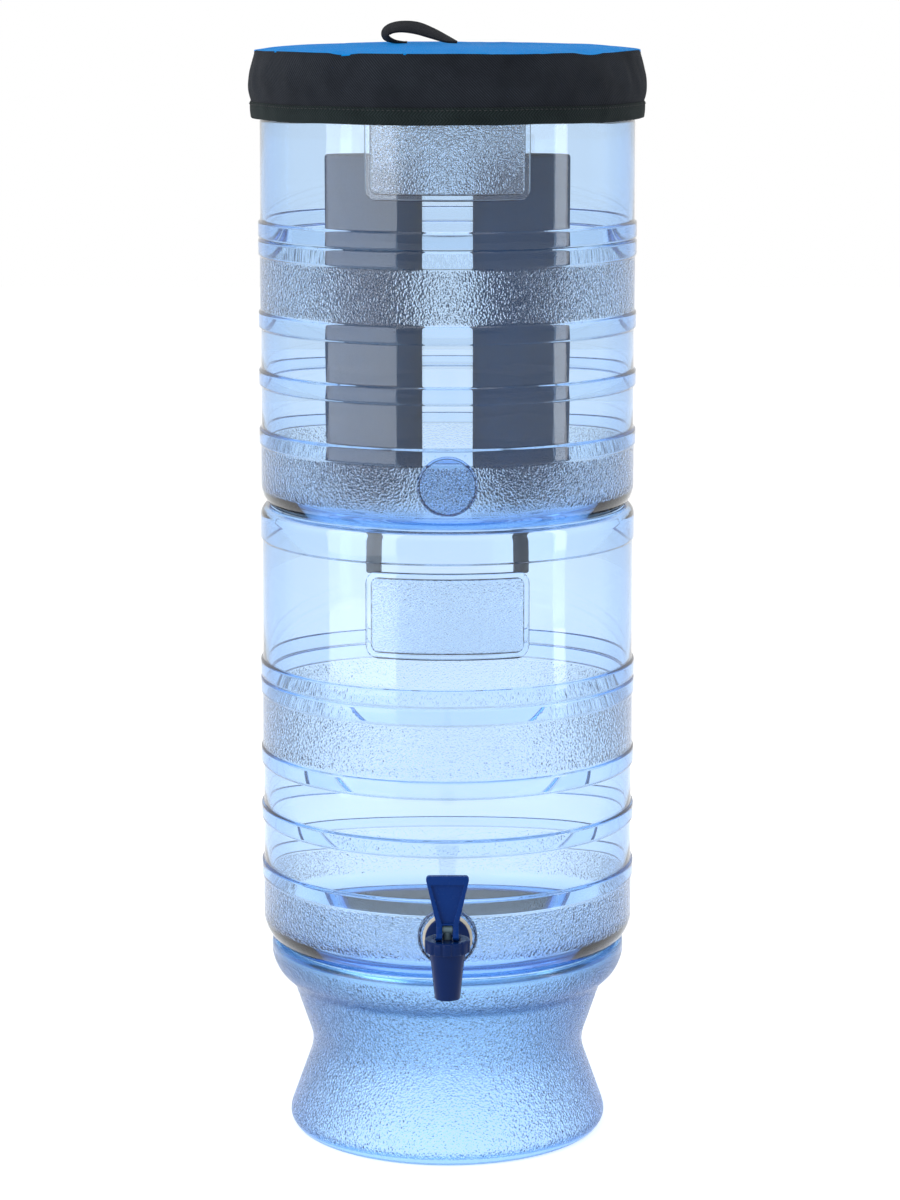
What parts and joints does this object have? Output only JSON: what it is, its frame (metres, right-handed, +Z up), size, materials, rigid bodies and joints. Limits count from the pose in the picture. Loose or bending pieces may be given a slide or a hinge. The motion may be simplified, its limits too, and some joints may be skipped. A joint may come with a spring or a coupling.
{
  "type": "gravity water filter",
  "caption": "Tall round gravity water filter: two stacked clear blue chambers, dark filter elements, lever tap, soft cloth lid and waisted base.",
  "frame": {"origin": "centre of the base's flat foot ring, on the surface it stands on", "axes": "+Z up along the common axis of base and chambers; the tap faces -Y; +X is to the right seen from the tap"},
  "size_m": [0.2466, 0.2979, 0.6986],
  "materials": {
    "chamber_plastic": "clear blue moulded polycarbonate, glossy, grained bands",
    "stand_plastic": "translucent blue moulded plastic, grained all over",
    "carbon": "matte dark carbon block",
    "cap_plastic": "matte dark moulded plastic",
    "washer_rubber": "black rubber",
    "tap_plastic": "navy blue moulded plastic, satin gloss",
    "silicone": "cream silicone",
    "stem_plastic": "grey-teal moulded plastic",
    "pin_steel": "stainless pin",
    "foam": "closed-cell foam sheet",
    "blue_cloth": "coated blue nylon cloth",
    "black_cloth": "black twill cloth with a herringbone bound hem",
    "elastic": "black elastic tape",
    "webbing": "black webbing"
  },
  "bodies": {
    "base": {"base_stand": "stand_plastic"},
    "lower_vessel": {"lower_chamber": "chamber_plastic", "tap_body": "tap_plastic", "tap_bonnet": "tap_plastic", "tap_outer_washer": "silicone", "tap_inner_washer": "silicone", "tap_lock_nut": "tap_plastic"},
    "tap_valve": {"tap_plunger_stem": "stem_plastic", "tap_seat_cup": "silicone", "tap_pivot_pin": "pin_steel"},
    "tap_handle": {"tap_lever": "tap_plastic"},
    "upper_vessel": {"upper_chamber": "chamber_plastic", "filter_element_left": "carbon", "filter_element_right": "carbon", "filter_end_cap_left": "cap_plastic", "filter_end_cap_right": "cap_plastic", "filter_washer_left": "washer_rubber", "filter_washer_right": "washer_rubber", "wing_nut_left": "cap_plastic", "wing_nut_right": "cap_plastic"},
    "lid": {"lid_foam_insert": "foam", "lid_top_panel": "blue_cloth", "lid_skirt": "black_cloth", "lid_hem_binding": "black_cloth", "lid_elastic": "elastic", "lid_pull_loop": "webbing"}
  },
  "joints": [
    {"name": "lower_chamber_lift", "type": "slide", "parent": "base", "child": "lower_vessel", "axis": [0, 0, 1], "range_m": [0, 0.06]},
    {"name": "upper_chamber_lift", "type": "slide", "parent": "lower_vessel", "child": "upper_vessel", "axis": [0, 0, 1], "range_m": [0, 0.08]},
    {"name": "lid_lift", "type": "slide", "parent": "upper_vessel", "child": "lid", "axis": [0, 0, 1], "range_m": [0, 0.08]},
    {"name": "plunger_lift", "type": "slide", "parent": "lower_vessel", "child": "tap_valve", "axis": [0, 0, 1], "range_m": [0, 0.0036]},
    {"name": "lever_tilt", "type": "hinge", "parent": "tap_valve", "child": "tap_handle", "pos_m": [0, -0.1609, 0.16783], "axis": [1, 0, 0], "range_deg": [0, 50], "stiffness_Nm_per_rad": 0.2, "springref_deg": -11.46}
  ],
  "couplings": [
    {"joint": "plunger_lift", "follows": "lever_tilt", "m_per_rad": 0.004}
  ]
}
